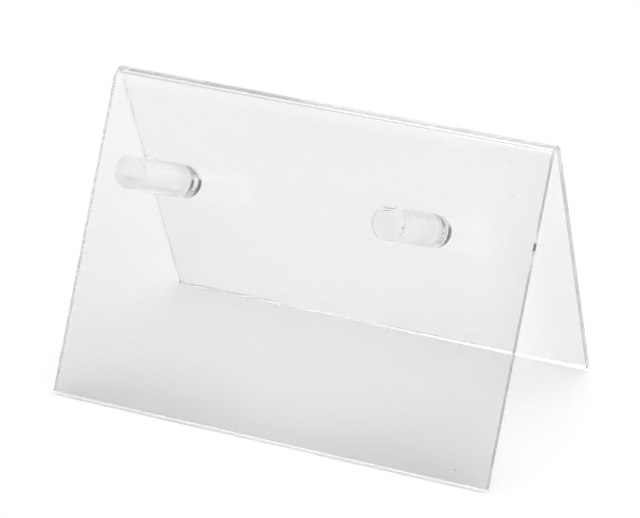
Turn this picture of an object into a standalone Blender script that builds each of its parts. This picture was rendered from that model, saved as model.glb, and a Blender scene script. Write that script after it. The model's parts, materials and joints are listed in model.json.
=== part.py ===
"""Slanted acrylic sign holder: a clear sheet folded into a tent, with two clear pegs cemented to its front.

Run with blender --background --python part.py, or from the text editor.

Units are metres and +Z is up. The front panel looks towards -Y, and left and right are as seen from the
front, so the left peg is at -X. The origin is on the table, in the middle of the holder's bounding box.
"""

import math

import bmesh
import bpy

INCH = 0.0254

# Driving dimensions of the folded sheet
SHEET_WIDTH = 7 * INCH
BLANK_LENGTH = 10 * INCH  # the flat blank from foot to foot, before it is folded across its middle
SHEET_THICKNESS = 0.125 * INCH
FOLD_ANGLE = math.radians(50)  # between the front and the back panel
BEND_INNER_RADIUS = 0.003
SHEET_EDGE_BREAK = 0.0002  # the saw-cut edges are only just eased

# Driving dimensions of the pegs and their cement
PEG_DIAMETER = 0.5 * INCH
PEG_LENGTH = 2 * INCH
PEG_SPACING = 4 * INCH  # between the two pegs' centres
PEG_DROP = 1.5 * INCH  # from the fold line to the pegs' centres, along the sheet
PEG_EDGE_BREAK = 0.0004
BOND_THICKNESS = 0.0002
FACE_CLEARANCE = 0.00005  # between a bond and each of the two faces that it joins

# Fineness of the round shapes
BEND_STEPS = 24
ROUND_SEGMENTS = 72
BREAK_SEGMENTS = 2
BREAK_MIN_CORNER = math.radians(60)  # only the square-cut corners are eased, never the steps of a curve

# What follows from the driving dimensions
HALF_FOLD = FOLD_ANGLE / 2
BEND_OUTER_RADIUS = BEND_INNER_RADIUS + SHEET_THICKNESS
BEND_SWEEP = math.pi - FOLD_ANGLE
BEND_LENGTH = (BEND_INNER_RADIUS + SHEET_THICKNESS / 2) * BEND_SWEEP  # along the middle of the thickness
PANEL_LENGTH = (BLANK_LENGTH - BEND_LENGTH) / 2  # the flat stretch of each panel
PEG_RADIUS = PEG_DIAMETER / 2
PEG_RUN = PEG_DROP - BEND_LENGTH / 2  # from the end of the bend down to the pegs' centres
BOND_GAP = BOND_THICKNESS + 2 * FACE_CLEARANCE

# Heights: each foot is cut square to its panel, so it stands on the eased corner of its inner face
EASED_CORNER_LIFT = SHEET_EDGE_BREAK * (1 - math.sqrt(0.5)) * (math.sin(HALF_FOLD) + math.cos(HALF_FOLD))
SHARP_CORNER_DROP = PANEL_LENGTH * math.cos(HALF_FOLD) - BEND_INNER_RADIUS * math.sin(HALF_FOLD)
BEND_AXIS_HEIGHT = SHARP_CORNER_DROP - EASED_CORNER_LIFT
BEND_END_DEPTH = BEND_OUTER_RADIUS * math.cos(HALF_FOLD)
BEND_END_HEIGHT = BEND_AXIS_HEIGHT + BEND_OUTER_RADIUS * math.sin(HALF_FOLD)

# Depths from the ridge: the pegs reach further forward than the back foot reaches back
BACK_REACH = BEND_END_DEPTH + PANEL_LENGTH * math.sin(HALF_FOLD)
PEG_BASE_REACH = BEND_END_DEPTH + PEG_RUN * math.sin(HALF_FOLD)
PEG_REACH = (
    PEG_BASE_REACH
    + (BOND_GAP + PEG_LENGTH) * math.cos(HALF_FOLD)
    + (PEG_RADIUS - PEG_EDGE_BREAK) * math.sin(HALF_FOLD)
)
FRONT_REACH = max(PEG_REACH, BACK_REACH)
RIDGE_DEPTH = (FRONT_REACH - BACK_REACH) / 2


def clear_scene():
    for obj in list(bpy.data.objects):
        bpy.data.objects.remove(obj, do_unlink=True)


def clear_acrylic(name, color, roughness):
    """Colourless cast acrylic."""
    material = bpy.data.materials.new(name)
    material.use_nodes = True
    shader = material.node_tree.nodes["Principled BSDF"]
    shader.inputs["Base Color"].default_value = (*color, 1.0)
    shader.inputs["Roughness"].default_value = roughness
    shader.inputs["Metallic"].default_value = 0.0
    shader.inputs["IOR"].default_value = 1.49
    shader.inputs["Transmission Weight"].default_value = 1.0
    return material


def new_collection(name):
    collection = bpy.data.collections.new(name)
    bpy.context.scene.collection.children.link(collection)
    return collection


def add_empty(name, collection, location, rotation=(0.0, 0.0, 0.0), parent=None):
    empty = bpy.data.objects.new(name, None)
    empty.location = location
    empty.rotation_euler = rotation
    empty.parent = parent
    collection.objects.link(empty)
    return empty


def add_piece(name, bm, collection, material, parent, location=(0.0, 0.0, 0.0)):
    """Turns a bmesh into a smooth-shaded object of its own."""
    mesh = bpy.data.meshes.new(name)
    bm.to_mesh(mesh)
    bm.free()
    mesh.shade_smooth()
    mesh.set_sharp_from_angle(angle=BREAK_MIN_CORNER)
    mesh.materials.append(material)
    obj = bpy.data.objects.new(name, mesh)
    obj.location = location
    obj.parent = parent
    collection.objects.link(obj)
    return obj


def ease_corners(obj, width):
    bevel = obj.modifiers.new("eased_edges", "BEVEL")
    bevel.width = width
    bevel.segments = BREAK_SEGMENTS
    bevel.limit_method = "ANGLE"
    bevel.angle_limit = BREAK_MIN_CORNER
    bevel.harden_normals = True


def extrude_edge(bm, edge, offset):
    """Draws an edge out into a flat panel and returns the panel's far edge."""
    drawn = bmesh.ops.extrude_edge_only(bm, edges=[edge])["geom"]
    corners = [item for item in drawn if isinstance(item, bmesh.types.BMVert)]
    bmesh.ops.translate(bm, verts=corners, vec=offset)
    return bm.edges.get(corners)


def add_bent_sheet(collection, material, ridge):
    """The outer face of the fold, foot to foot, thickened inwards. Its origin is under the ridge."""
    bm = bmesh.new()
    panel_depth = PANEL_LENGTH * math.sin(HALF_FOLD)
    panel_height = PANEL_LENGTH * math.cos(HALF_FOLD)
    foot_place = (-BACK_REACH, BEND_END_HEIGHT - panel_height)
    corners = [bm.verts.new((side * SHEET_WIDTH / 2, *foot_place)) for side in (-1, 1)]
    front_foot = bm.edges.new(corners)
    front_top = extrude_edge(bm, front_foot, (0.0, panel_depth, panel_height))
    swept = bmesh.ops.spin(
        bm,
        geom=[front_top, *front_top.verts],
        cent=(0.0, 0.0, BEND_AXIS_HEIGHT),
        axis=(-1.0, 0.0, 0.0),
        angle=BEND_SWEEP,
        steps=BEND_STEPS,
    )["geom_last"]
    back_top = next(item for item in swept if isinstance(item, bmesh.types.BMEdge))
    extrude_edge(bm, back_top, (0.0, panel_depth, -panel_height))
    bmesh.ops.recalc_face_normals(bm, faces=bm.faces)
    sheet = add_piece("bent_sheet", bm, collection, material, ridge)
    solidify = sheet.modifiers.new("sheet_thickness", "SOLIDIFY")
    solidify.thickness = SHEET_THICKNESS
    solidify.offset = -1.0
    solidify.use_even_offset = True
    ease_corners(sheet, SHEET_EDGE_BREAK)
    return sheet


def round_bar(radius, length):
    """A round bar that stands on its own origin, along +Z."""
    bm = bmesh.new()
    bmesh.ops.create_cone(
        bm, cap_ends=True, segments=ROUND_SEGMENTS, radius1=radius, radius2=radius, depth=length
    )
    bmesh.ops.translate(bm, verts=bm.verts, vec=(0.0, 0.0, length / 2))
    return bm


def add_peg(side, place, collection, rod_material, cement_material, front_panel):
    """A peg standing square on the front panel, and the film of cement that holds it there."""
    across = place * PEG_SPACING / 2
    bond_bar = round_bar(PEG_RADIUS - PEG_EDGE_BREAK, BOND_THICKNESS)
    bond_place = (across, -PEG_RUN, FACE_CLEARANCE)
    add_piece(f"{side}_peg_bond", bond_bar, collection, cement_material, front_panel, bond_place)
    peg_bar = round_bar(PEG_RADIUS, PEG_LENGTH)
    peg_place = (across, -PEG_RUN, BOND_GAP)
    peg = add_piece(f"{side}_peg", peg_bar, collection, rod_material, front_panel, peg_place)
    ease_corners(peg, PEG_EDGE_BREAK)


def main():
    clear_scene()
    holder = new_collection("slanted_acrylic_sign_holder")
    sheet_material = clear_acrylic("clear_sheet", (0.94, 0.945, 0.945), 0.02)
    rod_material = clear_acrylic("clear_rod", (0.92, 0.925, 0.925), 0.04)
    cement_material = clear_acrylic("clear_cement", (0.90, 0.90, 0.90), 0.10)

    ridge = add_empty("ridge", holder, (0.0, RIDGE_DEPTH, 0.0))
    add_bent_sheet(holder, sheet_material, ridge)

    # The front panel's own frame: X across, Y up the slope, Z square out of the front face
    front_panel = add_empty(
        "front_panel",
        holder,
        (0.0, -BEND_END_DEPTH, BEND_END_HEIGHT),
        (math.pi / 2 - HALF_FOLD, 0.0, 0.0),
        ridge,
    )
    for side, place in (("left", -1), ("right", 1)):
        add_peg(side, place, holder, rod_material, cement_material, front_panel)


main()
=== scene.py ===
"""Looks of the slanted acrylic sign holder: clear folded sheet, clear pegs, soft white studio."""

import json
import math

import bmesh
import bpy
from mathutils import Matrix, Vector


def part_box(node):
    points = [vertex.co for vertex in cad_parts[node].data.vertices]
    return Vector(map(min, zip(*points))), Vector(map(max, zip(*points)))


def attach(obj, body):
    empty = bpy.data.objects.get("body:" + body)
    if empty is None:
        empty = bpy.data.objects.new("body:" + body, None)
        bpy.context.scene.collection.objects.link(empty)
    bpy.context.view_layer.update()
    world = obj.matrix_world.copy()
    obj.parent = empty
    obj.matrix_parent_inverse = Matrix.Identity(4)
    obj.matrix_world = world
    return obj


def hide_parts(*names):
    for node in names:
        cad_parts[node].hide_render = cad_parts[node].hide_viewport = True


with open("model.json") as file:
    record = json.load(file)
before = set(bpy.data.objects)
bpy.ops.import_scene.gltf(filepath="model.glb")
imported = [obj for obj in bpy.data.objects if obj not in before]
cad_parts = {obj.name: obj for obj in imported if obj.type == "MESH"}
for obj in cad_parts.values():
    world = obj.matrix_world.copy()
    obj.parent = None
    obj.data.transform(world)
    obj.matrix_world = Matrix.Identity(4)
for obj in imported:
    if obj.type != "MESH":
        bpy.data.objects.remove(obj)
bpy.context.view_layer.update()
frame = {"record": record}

# Sizes that the frame gives
MOUNTS = {mount["name"]: mount for mount in frame["record"]["mounts"]}
SHEET_LOW, SHEET_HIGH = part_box("bent_sheet")
SHEET_WIDTH = SHEET_HIGH.x - SHEET_LOW.x
RIDGE_Y = (SHEET_LOW.y + SHEET_HIGH.y) / 2
BACK_NORMAL = Vector(MOUNTS["back_panel_face"]["axis"])
HALF_FOLD = math.atan2(BACK_NORMAL.z, BACK_NORMAL.y)
PEG_LOW, PEG_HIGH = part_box("left_peg")
PEG_RADIUS = (PEG_HIGH.x - PEG_LOW.x) / 2
PEG_AXIS = Vector(MOUNTS["left_peg_end"]["axis"]).normalized()
PEG_SPREAD = MOUNTS["right_peg_end"]["pos_m"][0]

# Sizes repeated from the part's source
INCH = 0.0254
BEND_OUTER_RADIUS = 0.003 + 0.125 * INCH
PEG_REACH = 2 * INCH + 0.0003  # from the front face to the peg's free end, with the bond

# Sizes of the looks: the pegs' bases mirror a sheet that is a little over its nominal thickness
SHEET_THICKNESS = 0.00347
BEND_THINNING = 0.16
SHEET_EDGE_BREAK = 0.00008
SHEET_BREAK_SEGMENTS = 3
PEG_EDGE_BREAK = 0.00006
PEG_BREAK_SEGMENTS = 4
SHARP_ANGLE = math.radians(60)
BEND_STEPS = 72
ROUND_SEGMENTS = 192

# Film of cement under each peg, and the uneven bead round it
FILM_THICKNESS = 0.0001
FILM_CLEARANCE = 0.00001
FILM_BEAD = 0.00006
BEAD_CUTS = 3
BEAD_MEAN = 0.7
BEAD_SWAY = 0.3
BEAD_LOBES = 3

# What follows: each foot is cut square, and stands on the eased corner of its inner face
BEND_SWEEP = math.pi - 2 * HALF_FOLD
BEND_AXIS = Vector((0.0, RIDGE_Y, SHEET_HIGH.z - BEND_OUTER_RADIUS))
CORNER_LIFT = SHEET_EDGE_BREAK * (1 - math.sqrt(0.5)) * (math.sin(HALF_FOLD) + math.cos(HALF_FOLD))
PANEL_DROP = BEND_AXIS.z + (BEND_OUTER_RADIUS - SHEET_THICKNESS) * math.sin(HALF_FOLD) + CORNER_LIFT
PANEL_LENGTH = PANEL_DROP / math.cos(HALF_FOLD)
PANEL_TURN = math.pi / 2 - HALF_FOLD

# Camera, from a fit to the photograph's edges
CAMERA_AIM = Vector((-0.01055, 0.02257, 0.04284))
CAMERA_DISTANCE = 1.18758
CAMERA_AZIMUTH = math.radians(23.2261)
CAMERA_ELEVATION = math.radians(24.7298)
CAMERA_ROLL = math.radians(1.3971)
CAMERA_LENS = 171.516
SENSOR_WIDTH = 36.0

# Studio: pale walls, a dim ceiling, an unlit side behind the camera, and a soft light box overhead
WHITE = (1.0, 1.0, 1.0, 1.0)
WALL_LEVEL = 0.95
CEILING_LEVEL = 0.42
WALL_TOP = (0.44, 0.62)  # heights of a direction of length 1
DARK_LEVEL = 0.05
DARK_SIDE = (-0.5, -0.2)  # towards the camera
DARK_HEIGHT = (0.16, 0.3)  # the dark side starts above the pale floor
SOFTBOX_LEVEL = 5.3
SOFTBOX_TILT = math.radians(14)
SOFTBOX_RADII = (0.2, 0.45)
FLOOR_SIZE = 3.0
FLOOR_COLOR = 0.8
FLOOR_GLOW = 0.2
FLOOR_FADE = (0.5, 1.1)  # distances from the stand
FLOOR_FAR_SHARE = 0.75
LIGHT_BOUNCES = 96

# Parts of a noise's range, which goes from 0 to 1, that a change is spread over
NOISE_WIDE = (0.2, 0.8)
NOISE_MIDDLE = (0.3, 0.7)
NOISE_NARROW = (0.35, 0.65)
SMUDGE_NOISE = (0.5, 0.75)
RIM_PATCH_NOISE = (0.48, 0.6)

# Faces of the sheet: tints of clear acrylic, with painted shade that darkens them towards the feet and the
# ends, less in the upper corners
CLEAR_IOR = 1.49
FRONT_TINT = 0.963
LEFT_END_SHADE = 0.955
LEFT_END_STOP = -0.03
RIGHT_END = (0.045, 0.085)  # places across, where the right end starts and where it is full
UPPER_PART = (0.045, 0.095)  # heights, in the same way
FOOT_PAINTED_SHADE = 0.11
FOOT_SHADE_POWER = 2.5
RIGHT_PAINTED_SHADE = 0.04
BACK_TINT = 0.955
BACK_END_SHADE = 0.85
BACK_CORNER_SHADE = 0.9
BACK_PAINTED_SHADE = 0.05
BACK_SHADE_POWER = 2.0
BEND_CLEAR_DROP = 0.003  # down to here from its top, the bend has no tint at all
FRONT_FACE_DEPTH = 0.0005
SMUDGE_SCALE = 40.0
SMUDGE_ROUGHNESS = 0.05

# Cut edges of the sheet
EDGE_TINT = 0.97
# Grey of the painted shade that darkens the lines of the cut edges
EDGE_SHADE_GREY = (0.3, 0.3, 0.3, 1.0)
EDGE_WHITE = (0.9, 0.9, 0.9, 1.0)
SAWN_ROUGHNESS = 0.2
POLISHED_ROUGHNESS = 0.005
SAW_MARK_SIZE = (0.02, 0.002, 0.02)
SAW_MARK_SCALE = 8.0
BACK_FOOT_ROUGHNESS = (0.5, 0.25)
BACK_FOOT_SMOOTHER = (0.0, 0.06)  # places across, where the roughness starts to change and where it stops
UNEVEN = (0.8, 1.2)  # least and most of what varies by chance, as shares of its mean

# Shares of the cut edges that marks cover: grey marks of painted shade, which darken the edge lines, and
# frosted marks
FRONT_LEFT_SHADE_MARKS = 0.18
FRONT_RIGHT_SHADE_MARKS = 0.03
FRONT_FOOT_SHADE_MARKS = 0.02
BACK_LEFT_MARKS = 0.35
BACK_RIGHT_SHADE_MARKS = (0.15, 0.03)  # low and high
BACK_RIGHT_HEIGHTS = (0.03, 0.08)
BACK_FOOT_OUTER_SHADE_AND_FROST = (0.36, 0.12, 0.42)  # on the left, in the middle and on the right
BACK_FOOT_INNER_SHADE_AND_FROST = (0.24, 0.17, 0.04)
BACK_FOOT_OUTER = (0.0004, 0.001)  # heights between the foot's inner and outer half
BACK_FOOT_LEFT = (-0.055, -0.035)  # places across, where the left stretch starts to fade and where it stops
BACK_FOOT_RIGHT = (-0.01, 0.03)  # places across, where the right stretch starts and where it is full

# Clear rod of the pegs
ROD_LINE_TINT = 0.96
ROD_LINE_SIZE = (0.001, 0.001, 0.03)
ROD_LINE_SCALE = 1.5
ROD_ROUGHNESS = 0.15
ROD_BASE_ROUGHNESS = 0.03
ROD_BASE = (0.008, 0.014)  # distances from the panel, where the smooth base starts to fade and stops
ROD_END_ROUGHNESS = 0.3
# Painted shade on the pegs' free ends: the left end a little darker all over, and a broken dark ring on each
# rim, fainter on the left peg
PEG_LEFT_END_SHADE = 0.93
RIM = (0.92, 0.96)  # shares of the peg's radius
RIM_SHADE_TINT = 0.45
LEFT_RIM_SHADE_SHARE = 0.25
BETWEEN_PEGS = (-0.01, 0.01)  # places across
RIM_PATCH_SCALE = 250.0
SHADE_MARK_TINT = 0.1
SHADE_STREAK_TINT = 0.8

# Cement: a bead with small lumps, and fine bubbles in the film
LUMP_SCALE = 900.0
BEAD_ROUGHNESS = (0.02, 0.25)
BEAD_TINT = (0.9, 1.0)
BUBBLE_SCALE = 1800.0
BUBBLE_SHARE = (0.5, 1.0)
BUBBLE_WHITE = (0.97, 0.97, 0.97, 1.0)
BUBBLE_THROUGH = 0.9  # the share of scattered light that goes on, away from the side that it came from
CLEAR_FILM_SHARE = 0.03
LEFT_BUBBLES = (0.1 * PEG_RADIUS, 0.4 * PEG_RADIUS)  # distances up from the peg's axis
RIGHT_BUBBLES = (0.15 * PEG_RADIUS, 0.35 * PEG_RADIUS)  # distances to either side of the peg's axis

# Flaws, and dark marks of painted shade on the pegs' ends: mm across and up from between the pegs' axes, two
# half sizes in mm, and tilt in degrees
FLAWS = (
    (-57.4, 24.9, 0.35, 0.3, 0),
    (73.9, 30.3, 0.4, 0.3, 60),
    (77.3, 17.6, 2.2, 0.14, 42),
    (82.2, 20.9, 2.4, 0.08, 28),
    (69.9, -64.5, 0.6, 0.25, 0),
    (69.2, -83.7, 0.6, 0.3, 70),
    (75.9, -84.1, 0.5, 0.4, 0),
)
EDGE_NICK = (88.9, 1.2, 1.9, 1.0, 90)
# Painted shade: dark marks along the rim of the right peg's end, and dark streaks on the left end, mostly
# where its lower rim shows through
PEG_END_SHADE_MARKS = (
    (56.4, -0.7, 0.5, 0.3, 70),
    (50.2, 5.3, 3.2, 0.13, 5),
    (49.6, 4.4, 2.4, 0.1, 12),
)
PEG_END_SHADE_STREAKS = (
    (-49.2, -2.1, 5.0, 0.9, 3),
    (-50.4, -5.3, 2.6, 0.8, 0),
    (-54.2, 3.5, 1.6, 0.25, -10),
)
MM = 0.001
FLAW_DEPTH = 0.002
NICK_DEPTH = 0.006
FLAW_FADE = (0.6, 1.0)  # shares of the half sizes
FLAW_TINT = 0.6
FLAW_ROUGHNESS = 0.3


def new_node(tree, kind, inputs=(), **settings):
    """Adds a node with its settings, and with constants on its own sockets."""
    made = tree.nodes.new(kind)
    for name, value in settings.items():
        setattr(made, name, value)
    for name, value in dict(inputs).items():
        made.inputs[name].default_value = value
    return made


def math_node(tree, operation, first, second=0.0):
    made = new_node(tree, "ShaderNodeMath", operation=operation)
    for socket, value in zip(made.inputs, (first, second)):
        if isinstance(value, (int, float)):
            socket.default_value = value
        else:
            tree.links.new(value, socket)
    return made.outputs[0]


def soft_step(tree, value, start, end, before=0.0, after=1.0):
    """Goes smoothly from one value to another as the input goes from start to end."""
    made = new_node(
        tree,
        "ShaderNodeMapRange",
        {"From Min": start, "From Max": end, "To Min": before, "To Max": after},
        interpolation_type="SMOOTHSTEP",
    )
    tree.links.new(value, made.inputs["Value"])
    return made.outputs[0]


def blend(tree, factor, first, second):
    """A number between two others."""
    made = new_node(tree, "ShaderNodeMix")
    for name, value in (("Factor", factor), ("A", first), ("B", second)):
        if isinstance(value, (int, float)):
            made.inputs[name].default_value = value
        else:
            tree.links.new(value, made.inputs[name])
    return made.outputs["Result"]


def mix_shader(tree, factor, first, second):
    made = new_node(tree, "ShaderNodeMixShader")
    tree.links.new(factor, made.inputs["Fac"])
    tree.links.new(first.outputs[0], made.inputs[1])
    tree.links.new(second.outputs[0], made.inputs[2])
    return made


def noise(tree, place, scale, detail=2.0):
    made = new_node(tree, "ShaderNodeTexNoise", {"Scale": scale, "Detail": detail})
    tree.links.new(place, made.inputs["Vector"])
    return made.outputs["Fac"]


def object_place(tree):
    return new_node(tree, "ShaderNodeTexCoord").outputs["Object"]


def panel_place(tree, stretch=(1.0, 1.0, 1.0)):
    """Place on the front panel: X across, Y up the slope and Z out of it, from between the pegs' bases."""
    between = Vector(MOUNTS["left_peg_end"]["pos_m"]) - PEG_AXIS * PEG_REACH
    between.x = 0.0
    local = new_node(
        tree,
        "ShaderNodeMapping",
        {"Location": between, "Rotation": (PANEL_TURN, 0.0, 0.0), "Scale": stretch},
        vector_type="TEXTURE",
    )
    tree.links.new(object_place(tree), local.inputs["Vector"])
    return local.outputs["Vector"]


def split(tree, place):
    made = new_node(tree, "ShaderNodeSeparateXYZ")
    tree.links.new(place, made.inputs[0])
    return made.outputs


def new_material(name):
    material = bpy.data.materials.new(name)
    material.use_nodes = True
    return material, material.node_tree, material.node_tree.nodes["Principled BSDF"]


def set_clear(tree, shader, tint, roughness):
    """Clear acrylic, with a tint and a roughness that change over the surface."""
    shader.inputs["IOR"].default_value = CLEAR_IOR
    shader.inputs["Transmission Weight"].default_value = 1.0
    tree.links.new(tint, shader.inputs["Base Color"])
    tree.links.new(roughness, shader.inputs["Roughness"])


def use_surface(tree, shader):
    tree.links.new(shader.outputs[0], tree.nodes["Material Output"].inputs["Surface"])


def off_axis(tree, across, up):
    """Distance from the nearer peg's axis, as a share of the peg's radius."""
    aside = math_node(tree, "SUBTRACT", math_node(tree, "ABSOLUTE", across), PEG_SPREAD)
    aside_square = math_node(tree, "MULTIPLY", aside, aside)
    squares = math_node(tree, "ADD", aside_square, math_node(tree, "MULTIPLY", up, up))
    return math_node(tree, "DIVIDE", math_node(tree, "SQRT", squares), PEG_RADIUS)


def joint_mask(tree):
    """1 on the front face where a peg is cemented to it, 0 elsewhere."""
    across, up, out = split(tree, panel_place(tree))
    inside = math_node(tree, "LESS_THAN", off_axis(tree, across, up), 1.0)
    front = math_node(tree, "GREATER_THAN", out, -FRONT_FACE_DEPTH)
    return math_node(tree, "MULTIPLY", inside, front)


def flaw_mask(tree, flaws, depth, out=0.0):
    """1 on small marks of the front panel, or of what stands out of it, and 0 elsewhere."""
    place = panel_place(tree)
    mask = 0.0
    for across, up, half_length, half_width, tilt in flaws:
        local = new_node(
            tree,
            "ShaderNodeMapping",
            {
                "Location": (across * MM, up * MM, out),
                "Rotation": (0.0, 0.0, math.radians(tilt)),
                "Scale": (half_length * MM, half_width * MM, depth),
            },
            vector_type="TEXTURE",
        )
        tree.links.new(place, local.inputs["Vector"])
        reach = new_node(tree, "ShaderNodeVectorMath", operation="LENGTH")
        tree.links.new(local.outputs["Vector"], reach.inputs[0])
        mark = soft_step(tree, reach.outputs["Value"], *FLAW_FADE, 1.0, 0.0)
        mask = math_node(tree, "MAXIMUM", mark, mask)
    return mask


def less_painted_shade(tree, drop, power, most, more=0.0):
    """The share of light that is left after painted shade that grows with the drop from the ridge."""
    low = math_node(tree, "MULTIPLY", math_node(tree, "POWER", drop, power), most)
    return math_node(tree, "SUBTRACT", 1.0, math_node(tree, "ADD", low, more))


def sheet_tint(tree):
    """Clear on the bend, with painted shade that darkens the panels towards the feet and the ends, less in
    the upper corners.
    """
    across, depth, height = split(tree, object_place(tree))
    drop = math_node(tree, "SUBTRACT", 1.0, math_node(tree, "DIVIDE", height, SHEET_HIGH.z))
    upper = soft_step(tree, height, *UPPER_PART)
    right_end = soft_step(tree, across, *RIGHT_END)

    # Painted shade on the front panel: darker towards its foot, more so on the right, darker low at its left
    # end, and none in its upper right corner
    right_shade = soft_step(tree, across, 0.0, SHEET_HIGH.x, 0.0, RIGHT_PAINTED_SHADE)
    right_low = math_node(tree, "MULTIPLY", drop, right_shade)
    front_left = blend(tree, upper, LEFT_END_SHADE * FRONT_TINT, FRONT_TINT)
    past_left = soft_step(tree, across, SHEET_LOW.x, LEFT_END_STOP)
    front_clear = blend(tree, past_left, front_left, FRONT_TINT)
    front_corner = math_node(tree, "MULTIPLY", upper, right_end)
    front_tint = blend(tree, front_corner, front_clear, 1.0)
    front_light = less_painted_shade(tree, drop, FOOT_SHADE_POWER, FOOT_PAINTED_SHADE, right_low)
    front = math_node(tree, "MULTIPLY", front_light, front_tint)

    # Painted shade on the back panel: darker at its right end, less in the upper corner, and darker towards
    # its foot
    back_right = blend(tree, upper, BACK_END_SHADE, BACK_CORNER_SHADE)
    back_tint = blend(tree, right_end, BACK_TINT, back_right)
    back_light = less_painted_shade(tree, drop, BACK_SHADE_POWER, BACK_PAINTED_SHADE)
    back = math_node(tree, "MULTIPLY", back_light, back_tint)

    behind = soft_step(tree, depth, RIDGE_Y - BEND_OUTER_RADIUS, RIDGE_Y + BEND_OUTER_RADIUS)
    bend = soft_step(tree, height, SHEET_HIGH.z - BEND_OUTER_RADIUS, SHEET_HIGH.z - BEND_CLEAR_DROP)
    return blend(tree, bend, blend(tree, behind, front, back), 1.0)


def sheet_material():
    """Polished faces with faint smudges and a few scratches. Light passes where a peg is cemented on."""
    material, tree, shader = new_material("clear_face")
    flaws = flaw_mask(tree, FLAWS, FLAW_DEPTH)
    tint = math_node(tree, "MULTIPLY", sheet_tint(tree), blend(tree, flaws, 1.0, FLAW_TINT))
    smears = noise(tree, object_place(tree), SMUDGE_SCALE, 4.0)
    smudges = soft_step(tree, smears, *SMUDGE_NOISE, 0.0, SMUDGE_ROUGHNESS)
    set_clear(tree, shader, tint, blend(tree, flaws, smudges, FLAW_ROUGHNESS))
    through = new_node(tree, "ShaderNodeBsdfTransparent")
    use_surface(tree, mix_shader(tree, joint_mask(tree), shader, through))
    return material


def along_foot(tree, across, shares):
    """A number along the back foot, from its values on the left, in the middle and on the right."""
    left, middle, right = shares
    left_to_middle = soft_step(tree, across, *BACK_FOOT_LEFT, left, middle)
    return blend(tree, soft_step(tree, across, *BACK_FOOT_RIGHT), left_to_middle, right)


def edge_material():
    """Saw-cut edges with frosted marks, and grey marks of painted shade that darken the edge lines, across
    the thickness. The back's left edge is polished.
    """
    material, tree, shader = new_material("cut_edge")
    across, depth, height = split(tree, object_place(tree))
    left = math_node(tree, "LESS_THAN", across, SHEET_LOW.x + SHEET_THICKNESS)
    behind = math_node(tree, "GREATER_THAN", depth, RIDGE_Y)
    foot = math_node(tree, "LESS_THAN", height, SHEET_THICKNESS / 2)

    # Tint and roughness of the clear acrylic
    marks = noise(tree, panel_place(tree, SAW_MARK_SIZE), SAW_MARK_SCALE, 4.0)
    uneven = soft_step(tree, marks, *NOISE_WIDE, *UNEVEN)
    sawn = math_node(tree, "MULTIPLY", uneven, SAWN_ROUGHNESS)
    back_side = blend(tree, left, sawn, POLISHED_ROUGHNESS)
    back_foot = soft_step(tree, across, *BACK_FOOT_SMOOTHER, *BACK_FOOT_ROUGHNESS)
    roughness = blend(tree, behind, sawn, blend(tree, foot, back_side, back_foot))
    set_clear(tree, shader, soft_step(tree, marks, *NOISE_MIDDLE, EDGE_TINT, 1.0), roughness)

    # How much of each edge the marks cover
    front_share = blend(tree, left, FRONT_RIGHT_SHADE_MARKS, FRONT_LEFT_SHADE_MARKS)
    right_share = soft_step(tree, height, *BACK_RIGHT_HEIGHTS, *BACK_RIGHT_SHADE_MARKS)
    back_share = blend(tree, left, right_share, BACK_LEFT_MARKS)
    outer_share = along_foot(tree, across, BACK_FOOT_OUTER_SHADE_AND_FROST)
    inner_share = along_foot(tree, across, BACK_FOOT_INNER_SHADE_AND_FROST)
    outer_half = soft_step(tree, height, *BACK_FOOT_OUTER)
    back_foot_share = blend(tree, outer_half, inner_share, outer_share)
    side_share = blend(tree, behind, front_share, back_share)
    foot_share = blend(tree, behind, FRONT_FOOT_SHADE_MARKS, back_foot_share)
    share = math_node(tree, "MULTIPLY", blend(tree, foot, side_share, foot_share), uneven)
    covered = math_node(tree, "MAXIMUM", share, flaw_mask(tree, [EDGE_NICK], NICK_DEPTH))

    # The marks are frosted on the back's left edge and on most of its foot, and elsewhere grey, as painted
    # shade
    frosted_back = blend(tree, foot, left, soft_step(tree, across, *BACK_FOOT_LEFT))
    pale = math_node(tree, "MULTIPLY", behind, frosted_back)
    shade_grey = new_node(tree, "ShaderNodeBsdfDiffuse", {"Color": EDGE_SHADE_GREY})
    frosted = new_node(tree, "ShaderNodeBsdfTranslucent", {"Color": EDGE_WHITE})
    use_surface(tree, mix_shader(tree, covered, shader, mix_shader(tree, pale, shade_grey, frosted)))
    return material


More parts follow.
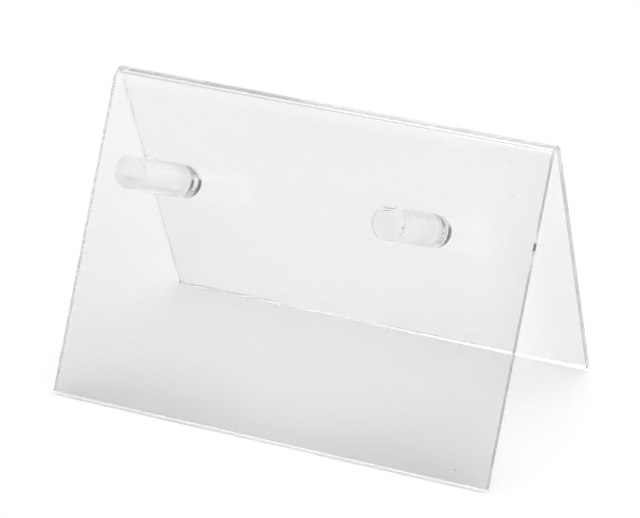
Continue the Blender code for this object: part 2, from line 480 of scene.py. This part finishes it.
def rod_material():
    """Clear rod with faint lines along its length, smooth near its base and rough on its sawn end.

    Painted shade darkens the rim of each end in broken patches, more on the right peg than on the left one,
    and darkens the left end all over.
    """
    material, tree, shader = new_material("clear_rod")
    place = panel_place(tree)
    across, up, out = split(tree, place)
    end = math_node(tree, "GREATER_THAN", out, PEG_REACH - PEG_EDGE_BREAK)

    # Lines along the length
    lines = noise(tree, panel_place(tree, ROD_LINE_SIZE), ROD_LINE_SCALE, 3.0)
    side = soft_step(tree, out, *ROD_BASE, ROD_BASE_ROUGHNESS, ROD_ROUGHNESS)
    lined = math_node(tree, "MULTIPLY", side, soft_step(tree, lines, *NOISE_WIDE, *UNEVEN))
    clear = soft_step(tree, lines, *NOISE_NARROW, ROD_LINE_TINT, 1.0)

    # Painted shade on the free ends: broken rim patches, dark marks and streaks, and a darker left end
    rim = math_node(tree, "MULTIPLY", end, soft_step(tree, off_axis(tree, across, up), *RIM))
    rim_shade_share = math_node(tree, "MULTIPLY", rim, soft_step(tree, across, *BETWEEN_PEGS, LEFT_RIM_SHADE_SHARE, 1.0))
    broken_ring = soft_step(tree, noise(tree, place, RIM_PATCH_SCALE), *RIM_PATCH_NOISE)
    rim_patches = math_node(tree, "MULTIPLY", rim_shade_share, broken_ring)
    shade_marks = flaw_mask(tree, PEG_END_SHADE_MARKS, FLAW_DEPTH, PEG_REACH)
    rim_shaded = blend(tree, shade_marks, blend(tree, rim_patches, clear, RIM_SHADE_TINT), SHADE_MARK_TINT)
    left_end = math_node(tree, "MULTIPLY", end, math_node(tree, "LESS_THAN", across, 0.0))
    shaded_left_end = blend(tree, left_end, 1.0, PEG_LEFT_END_SHADE)
    shade_streaks = flaw_mask(tree, PEG_END_SHADE_STREAKS, FLAW_DEPTH, PEG_REACH)
    streaked = blend(tree, shade_streaks, shaded_left_end, SHADE_STREAK_TINT)
    tint = math_node(tree, "MULTIPLY", rim_shaded, streaked)
    set_clear(tree, shader, tint, blend(tree, end, lined, ROD_END_ROUGHNESS))
    return material


def joint_material():
    """Where acrylic meets cement of the same index, light passes straight on."""
    material, tree, shader = new_material("joint")
    tree.nodes.remove(shader)
    use_surface(tree, new_node(tree, "ShaderNodeBsdfTransparent"))
    return material


def bubbly_material():
    """Cement with fine bubbles: high on the left peg's base, and down the middle of the right one's."""
    material, tree, shader = new_material("cement_bubbles")
    tree.nodes.remove(shader)
    place = panel_place(tree)
    across, up, _ = split(tree, place)
    left = soft_step(tree, up, *LEFT_BUBBLES)
    off_middle = math_node(tree, "ABSOLUTE", math_node(tree, "SUBTRACT", across, PEG_SPREAD))
    right = soft_step(tree, off_middle, *RIGHT_BUBBLES, 1.0, 0.0)
    side = math_node(tree, "GREATER_THAN", across, 0.0)
    grains = soft_step(tree, noise(tree, place, BUBBLE_SCALE, 3.0), *NOISE_NARROW, *BUBBLE_SHARE)
    share = blend(tree, blend(tree, side, left, right), CLEAR_FILM_SHARE, grains)
    scatter = new_node(tree, "ShaderNodeMixShader", {"Fac": BUBBLE_THROUGH})
    for socket, kind in ((1, "ShaderNodeBsdfDiffuse"), (2, "ShaderNodeBsdfTranslucent")):
        half = new_node(tree, kind, {"Color": BUBBLE_WHITE})
        tree.links.new(half.outputs[0], scatter.inputs[socket])
    use_surface(tree, mix_shader(tree, share, new_node(tree, "ShaderNodeBsdfTransparent"), scatter))
    return material


def cement_material():
    """The bead of cement that shows round a peg's base."""
    material, tree, shader = new_material("cement_bead")
    lumps = noise(tree, object_place(tree), LUMP_SCALE, 3.0)
    tint = soft_step(tree, lumps, *NOISE_MIDDLE, *BEAD_TINT)
    set_clear(tree, shader, tint, soft_step(tree, lumps, *NOISE_MIDDLE, *BEAD_ROUGHNESS))
    return material


def add_object(name, bm, materials):
    mesh = bpy.data.meshes.new(name)
    bm.to_mesh(mesh)
    bm.free()
    mesh.shade_smooth()
    mesh.set_sharp_from_angle(angle=SHARP_ANGLE)
    for material in materials:
        mesh.materials.append(material)
    obj = bpy.data.objects.new(name, mesh)
    bpy.context.scene.collection.objects.link(obj)
    return obj


def extrude_edge(bm, edge, offset):
    """Draws an edge out into a flat panel and returns the panel's far edge."""
    drawn = bmesh.ops.extrude_edge_only(bm, edges=[edge])["geom"]
    corners = [item for item in drawn if isinstance(item, bmesh.types.BMVert)]
    bmesh.ops.translate(bm, verts=corners, vec=offset)
    return bm.edges.get(corners)


def weighted_normals(obj):
    modifier = obj.modifiers.new("weighted_normals", "WEIGHTED_NORMAL")
    modifier.mode = "FACE_AREA"
    modifier.weight = 100
    modifier.keep_sharp = True


def thin_bend(sheet):
    """Gives each point of the outer face its share of the thickness, least at the top of the bend."""
    thick = sheet.vertex_groups.new(name="thick")
    for vert in sheet.data.vertices:
        out = vert.co - BEND_AXIS
        turn = abs(math.atan2(out.y, out.z)) / (BEND_SWEEP / 2)
        thinner = BEND_THINNING * math.cos(math.pi / 2 * min(turn, 1)) ** 2
        thick.add([vert.index], 1 - thinner, "REPLACE")
    return thick.name


def make_sheet(materials):
    """The outer face of the fold, foot to foot, thickened inwards."""
    bm = bmesh.new()
    front_down = Vector((0.0, -math.sin(HALF_FOLD), -math.cos(HALF_FOLD)))
    back_down = Vector((0.0, math.sin(HALF_FOLD), -math.cos(HALF_FOLD)))
    foot = BEND_AXIS + BEND_OUTER_RADIUS * PEG_AXIS + PANEL_LENGTH * front_down
    corners = [bm.verts.new(foot + Vector((side * SHEET_WIDTH / 2, 0, 0))) for side in (-1, 1)]
    edge = extrude_edge(bm, bm.edges.new(corners), -PANEL_LENGTH * front_down)
    swept = bmesh.ops.spin(
        bm,
        geom=[edge, *edge.verts],
        cent=BEND_AXIS,
        axis=(-1, 0, 0),
        angle=BEND_SWEEP,
        steps=BEND_STEPS,
    )["geom_last"]
    edge = next(item for item in swept if isinstance(item, bmesh.types.BMEdge))
    extrude_edge(bm, edge, PANEL_LENGTH * back_down)
    bmesh.ops.recalc_face_normals(bm, faces=bm.faces)
    sheet = add_object("folded_sheet", bm, materials)
    solidify = sheet.modifiers.new("thickness", "SOLIDIFY")
    solidify.vertex_group = thin_bend(sheet)
    solidify.thickness = SHEET_THICKNESS
    solidify.offset = -1.0
    solidify.use_even_offset = True
    solidify.material_offset_rim = 1
    bevel = sheet.modifiers.new("eased", "BEVEL")
    bevel.width = SHEET_EDGE_BREAK
    bevel.segments = SHEET_BREAK_SEGMENTS
    bevel.limit_method = "ANGLE"
    bevel.angle_limit = SHARP_ANGLE
    bevel.material = 1
    return sheet


def stand_on_panel(bm, side, height):
    """Turns a shape that stands along +Z onto the front panel, at a peg's place."""
    end = Vector(MOUNTS[f"{side}_peg_end"]["pos_m"])
    foot = end - PEG_AXIS * (PEG_REACH - height)
    turn = Matrix.Rotation(PANEL_TURN, 4, "X")
    bmesh.ops.transform(bm, matrix=Matrix.Translation(foot) @ turn, verts=bm.verts)


def round_bar(length):
    """A bar of the pegs' radius that stands on the origin, along +Z."""
    bm = bmesh.new()
    bmesh.ops.create_cone(
        bm, cap_ends=True, segments=ROUND_SEGMENTS, radius1=PEG_RADIUS, radius2=PEG_RADIUS, depth=length
    )
    bmesh.ops.translate(bm, verts=bm.verts, vec=(0, 0, length / 2))
    return bm


def make_peg(side, materials):
    """A round bar with an eased rim on its free end. Its base has the second material."""
    length = PEG_REACH - FILM_THICKNESS
    bm = round_bar(length)
    for face in bm.faces:
        if face.normal.z < -0.5:
            face.material_index = 1
    rim = [edge for edge in bm.edges if all(vert.co.z > length - 1e-6 for vert in edge.verts)]
    bmesh.ops.bevel(
        bm,
        geom=rim,
        offset=PEG_EDGE_BREAK,
        segments=PEG_BREAK_SEGMENTS,
        profile=0.5,
        affect="EDGES",
        clamp_overlap=True,
    )
    stand_on_panel(bm, side, FILM_THICKNESS)
    return add_object(f"{side}_rod", bm, materials)


def make_film(side, materials):
    """The cement under a peg, with the uneven bead that is squeezed out round it."""
    depth = FILM_THICKNESS - 2 * FILM_CLEARANCE
    bm = round_bar(depth)
    for face in bm.faces:
        if abs(face.normal.z) > 0.5:
            face.material_index = 1 if face.normal.z > 0 else 2
    upright = [edge for edge in bm.edges if abs(edge.verts[0].co.z - edge.verts[1].co.z) > depth / 2]
    bmesh.ops.subdivide_edges(bm, edges=upright, cuts=BEAD_CUTS)
    for vert in bm.verts:
        around = math.atan2(vert.co.y, vert.co.x)
        lobes = BEAD_MEAN + BEAD_SWAY * math.sin(BEAD_LOBES * around)
        swell = FILM_BEAD * lobes * math.sin(math.pi * vert.co.z / depth)
        vert.co.xy *= 1 + swell / PEG_RADIUS
    stand_on_panel(bm, side, FILM_CLEARANCE)
    return add_object(f"{side}_cement", bm, materials)


def add_camera():
    data = bpy.data.cameras.new("camera")
    data.lens = CAMERA_LENS
    data.sensor_width = SENSOR_WIDTH
    data.sensor_fit = "HORIZONTAL"
    camera = bpy.data.objects.new("camera", data)
    turn = (
        Matrix.Rotation(CAMERA_AZIMUTH, 4, "Z")
        @ Matrix.Rotation(math.pi / 2 - CAMERA_ELEVATION, 4, "X")
        @ Matrix.Rotation(CAMERA_ROLL, 4, "Z")
    )
    back = turn @ Vector((0, 0, 1))
    camera.matrix_world = Matrix.Translation(CAMERA_AIM + CAMERA_DISTANCE * back) @ turn
    bpy.context.scene.collection.objects.link(camera)
    bpy.context.scene.camera = camera


def add_world():
    """The studio, painted by direction."""
    world = bpy.data.worlds.new("studio")
    bpy.context.scene.world = world
    world.use_nodes = True
    tree = world.node_tree
    background = tree.nodes["Background"]
    background.inputs["Color"].default_value = WHITE
    direction = new_node(tree, "ShaderNodeTexCoord").outputs["Generated"]
    _, depth, height = split(tree, direction)
    walls = soft_step(tree, height, *WALL_TOP, WALL_LEVEL, CEILING_LEVEL)
    dark_side = soft_step(tree, depth, *DARK_SIDE, 1.0, 0.0)
    dark = math_node(tree, "MULTIPLY", dark_side, soft_step(tree, height, *DARK_HEIGHT))
    room = blend(tree, dark, walls, DARK_LEVEL)
    towards = new_node(tree, "ShaderNodeVectorMath", operation="DOT_PRODUCT")
    towards.inputs[1].default_value = (0.0, math.sin(SOFTBOX_TILT), math.cos(SOFTBOX_TILT))
    tree.links.new(direction, towards.inputs[0])
    inner, outer = SOFTBOX_RADII
    softbox = soft_step(tree, towards.outputs["Value"], math.cos(outer), math.cos(inner), 0.0, SOFTBOX_LEVEL)
    tree.links.new(math_node(tree, "ADD", room, softbox), background.inputs["Strength"])


def add_floor():
    """A white floor that dims a little in the distance."""
    bm = bmesh.new()
    bmesh.ops.create_grid(bm, x_segments=1, y_segments=1, size=FLOOR_SIZE)
    material, tree, shader = new_material("floor")
    distance = new_node(tree, "ShaderNodeVectorMath", operation="LENGTH")
    tree.links.new(object_place(tree), distance.inputs[0])
    share = soft_step(tree, distance.outputs["Value"], *FLOOR_FADE, 1.0, FLOOR_FAR_SHARE)
    tree.links.new(math_node(tree, "MULTIPLY", share, FLOOR_COLOR), shader.inputs["Base Color"])
    shader.inputs["Roughness"].default_value = 1.0
    shader.inputs["Specular IOR Level"].default_value = 0.0
    shader.inputs["Emission Color"].default_value = WHITE
    ray = new_node(tree, "ShaderNodeLightPath").outputs
    through = math_node(tree, "MAXIMUM", ray["Is Glossy Ray"], ray["Is Transmission Ray"])
    seen = math_node(tree, "MAXIMUM", ray["Is Camera Ray"], through)
    glow = math_node(tree, "MULTIPLY", seen, FLOOR_GLOW)
    tree.links.new(math_node(tree, "MULTIPLY", share, glow), shader.inputs["Emission Strength"])
    add_object("floor", bm, [material])


def set_render():
    """Plain colours, and enough bounces for light that is caught in the clear sheet."""
    scene = bpy.context.scene
    scene.view_settings.view_transform = "Standard"
    scene.cycles.blur_glossy = 0.0
    scene.cycles.max_bounces = LIGHT_BOUNCES
    scene.cycles.glossy_bounces = LIGHT_BOUNCES
    scene.cycles.transmission_bounces = LIGHT_BOUNCES
    scene.cycles.transparent_max_bounces = LIGHT_BOUNCES


def main():
    rod = rod_material()
    joint = joint_material()
    cement = [cement_material(), joint, bubbly_material()]
    sheet = make_sheet([sheet_material(), edge_material()])
    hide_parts("bent_sheet")
    pieces = [sheet]
    for side in ("left", "right"):
        peg = make_peg(side, [rod, joint])
        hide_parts(f"{side}_peg")
        film = make_film(side, cement)
        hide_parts(f"{side}_peg_bond")
        pieces += [peg, film]
    for piece in pieces:
        weighted_normals(piece)
        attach(piece, "root")
    add_camera()
    add_world()
    add_floor()
    set_render()


main()
